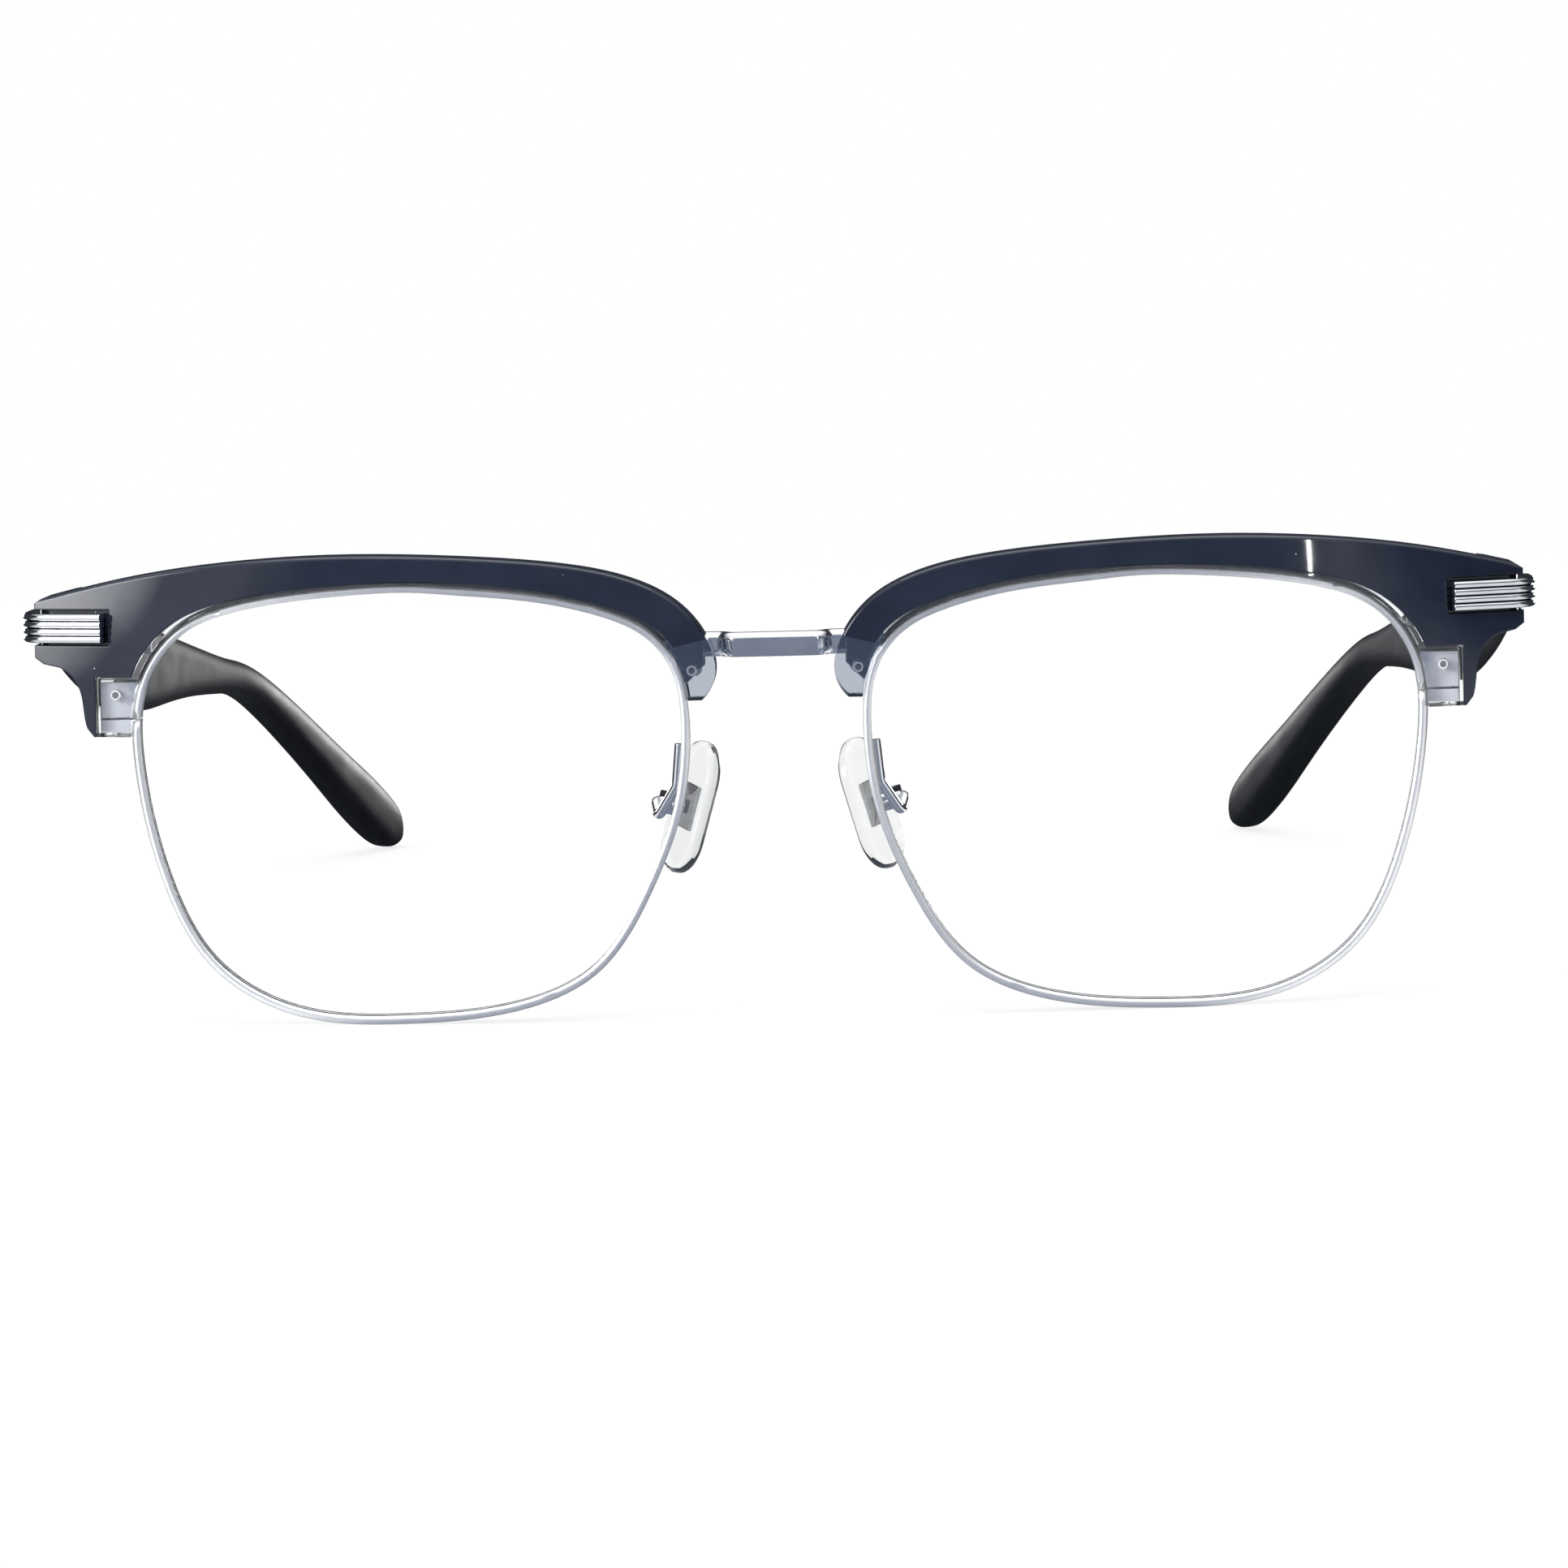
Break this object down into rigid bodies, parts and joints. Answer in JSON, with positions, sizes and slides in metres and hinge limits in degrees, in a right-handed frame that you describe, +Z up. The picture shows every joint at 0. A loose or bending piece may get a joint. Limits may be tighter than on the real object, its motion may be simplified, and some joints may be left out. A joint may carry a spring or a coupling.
{
  "type": "browline glasses",
  "caption": "Browline glasses with black brow bars over crystal acetate, metal eyewires, clear lenses, a straight bridge bar, nose pads on arms and folding temples.",
  "frame": {"origin": "on the table, in the middle of the overall width and depth, with the glasses open and standing on both rims and both temple tips", "axes": "+Z up from the table; +X to the wearer's left (the right of the picture); +Y from the front towards the temple tips"},
  "size_m": [0.1492, 0.1511, 0.0461],
  "materials": {
    "brow_acetate": "polished black cellulose acetate",
    "crystal_acetate": "polished clear cellulose acetate",
    "temple_acetate": "satin black cellulose acetate",
    "polished_metal": "polished silver-coloured metal",
    "plaque_metal": "polished silver-coloured metal",
    "hinge_metal": "satin nickel silver",
    "screw_steel": "plain steel",
    "lens": "clear plastic demonstration lens",
    "pad_plastic": "clear soft plastic"
  },
  "bodies": {
    "front": {"bridge": "polished_metal", "left_brow": "brow_acetate", "left_crystal": "crystal_acetate", "left_eyewire": "polished_metal", "left_lens": "lens", "left_rim_lock_upper": "polished_metal", "left_rim_lock_lower": "polished_metal", "left_rim_lock_screw": "screw_steel", "left_nose_tab": "polished_metal", "left_brow_screws": "screw_steel", "left_pad_arm": "polished_metal", "left_pad_box": "polished_metal", "left_pad_screw": "screw_steel", "left_plaque": "plaque_metal", "left_front_hinge_leaf": "hinge_metal", "left_hinge_screw": "screw_steel", "right_brow": "brow_acetate", "right_crystal": "crystal_acetate", "right_eyewire": "polished_metal", "right_lens": "lens", "right_rim_lock_upper": "polished_metal", "right_rim_lock_lower": "polished_metal", "right_rim_lock_screw": "screw_steel", "right_nose_tab": "polished_metal", "right_brow_screws": "screw_steel", "right_pad_arm": "polished_metal", "right_pad_box": "polished_metal", "right_pad_screw": "screw_steel", "right_plaque": "plaque_metal", "right_front_hinge_leaf": "hinge_metal", "right_hinge_screw": "screw_steel"},
    "left_temple_arm": {"left_temple": "temple_acetate", "left_temple_core": "hinge_metal", "left_temple_hinge_leaf": "hinge_metal", "left_temple_rivets": "screw_steel"},
    "right_temple_arm": {"right_temple": "temple_acetate", "right_temple_core": "hinge_metal", "right_temple_hinge_leaf": "hinge_metal", "right_temple_rivets": "screw_steel"},
    "left_pad_body": {"left_nose_pad": "pad_plastic", "left_pad_insert": "hinge_metal"},
    "right_pad_body": {"right_nose_pad": "pad_plastic", "right_pad_insert": "hinge_metal"}
  },
  "joints": [
    {"name": "left_temple_fold", "type": "hinge", "parent": "front", "child": "left_temple_arm", "pos_m": [0.0683, -0.05989, 0.0385], "axis": [0, 0, 1], "range_deg": [0, 86]},
    {"name": "right_temple_fold", "type": "hinge", "parent": "front", "child": "right_temple_arm", "pos_m": [-0.0683, -0.05989, 0.0385], "axis": [0, 0, -1], "range_deg": [0, 78]},
    {"name": "left_pad_rock", "type": "hinge", "parent": "front", "child": "left_pad_body", "pos_m": [0.01059, -0.06659, 0.02048], "axis": [0.4214, 0.8988, 0.1208], "range_deg": [-8, 8]},
    {"name": "right_pad_rock", "type": "hinge", "parent": "front", "child": "right_pad_body", "pos_m": [-0.01059, -0.06659, 0.02048], "axis": [0.4214, -0.8988, -0.1208], "range_deg": [-8, 8]}
  ]
}
